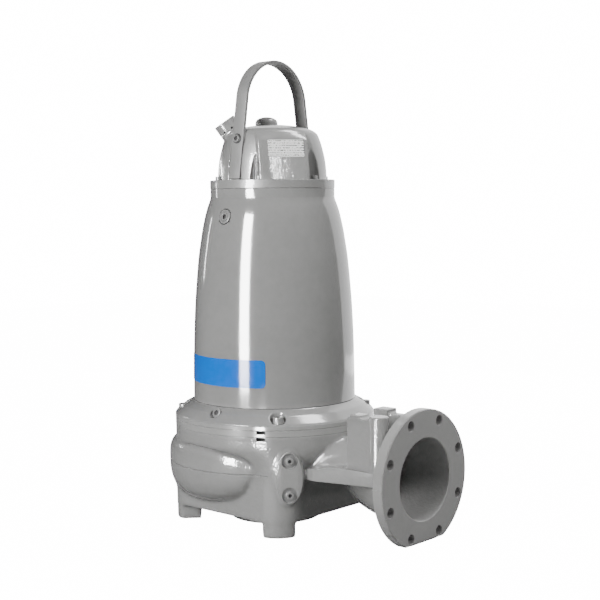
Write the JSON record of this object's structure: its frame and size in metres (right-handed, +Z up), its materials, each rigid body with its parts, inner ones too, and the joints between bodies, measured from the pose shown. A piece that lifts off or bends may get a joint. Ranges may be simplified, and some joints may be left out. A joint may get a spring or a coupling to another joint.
{
  "type": "submersible sewage pump",
  "caption": "Submersible sewage pump with a tall bell-topped motor housing, strap lifting handle, volute on short feet and a wide round discharge flange.",
  "frame": {"origin": "on the floor under the middle of the part's box", "axes": "+Z up along the pump's axis, +X out of the discharge flange, +Y to the side where the volute is widest"},
  "size_m": [0.7588, 0.5813, 1.1835],
  "materials": {
    "grey_enamel": "glossy grey enamel over cast metal",
    "label_blue": "glossy blue film",
    "plate_steel": "thin metal plate",
    "screw_steel": "grey painted steel",
    "impeller_iron": "dark cast iron"
  },
  "bodies": {
    "root": {"pump_housing": "grey_enamel", "suction_cover": "grey_enamel", "impeller": "impeller_iron", "seal_plate": "grey_enamel", "oil_housing": "grey_enamel", "motor_housing": "grey_enamel", "top_cover": "grey_enamel", "top_plug": "grey_enamel", "lifting_handle": "grey_enamel", "gland_ring": "grey_enamel", "oval_cover": "grey_enamel", "inspection_plug": "screw_steel", "label_plate": "label_blue", "data_plate": "plate_steel", "oil_plug_1": "screw_steel", "oil_plug_2": "screw_steel", "flange_bolt_1": "screw_steel", "flange_bolt_2": "screw_steel", "flange_bolt_3": "screw_steel", "flange_bolt_4": "screw_steel", "cover_screw_1": "screw_steel", "cover_screw_2": "screw_steel", "cover_screw_3": "screw_steel", "cover_screw_4": "screw_steel", "cover_screw_5": "screw_steel", "cover_screw_6": "screw_steel", "handle_bolt_1": "screw_steel", "handle_bolt_2": "screw_steel", "oval_screw_1": "screw_steel", "oval_screw_2": "screw_steel"}
  },
  "joints": []
}
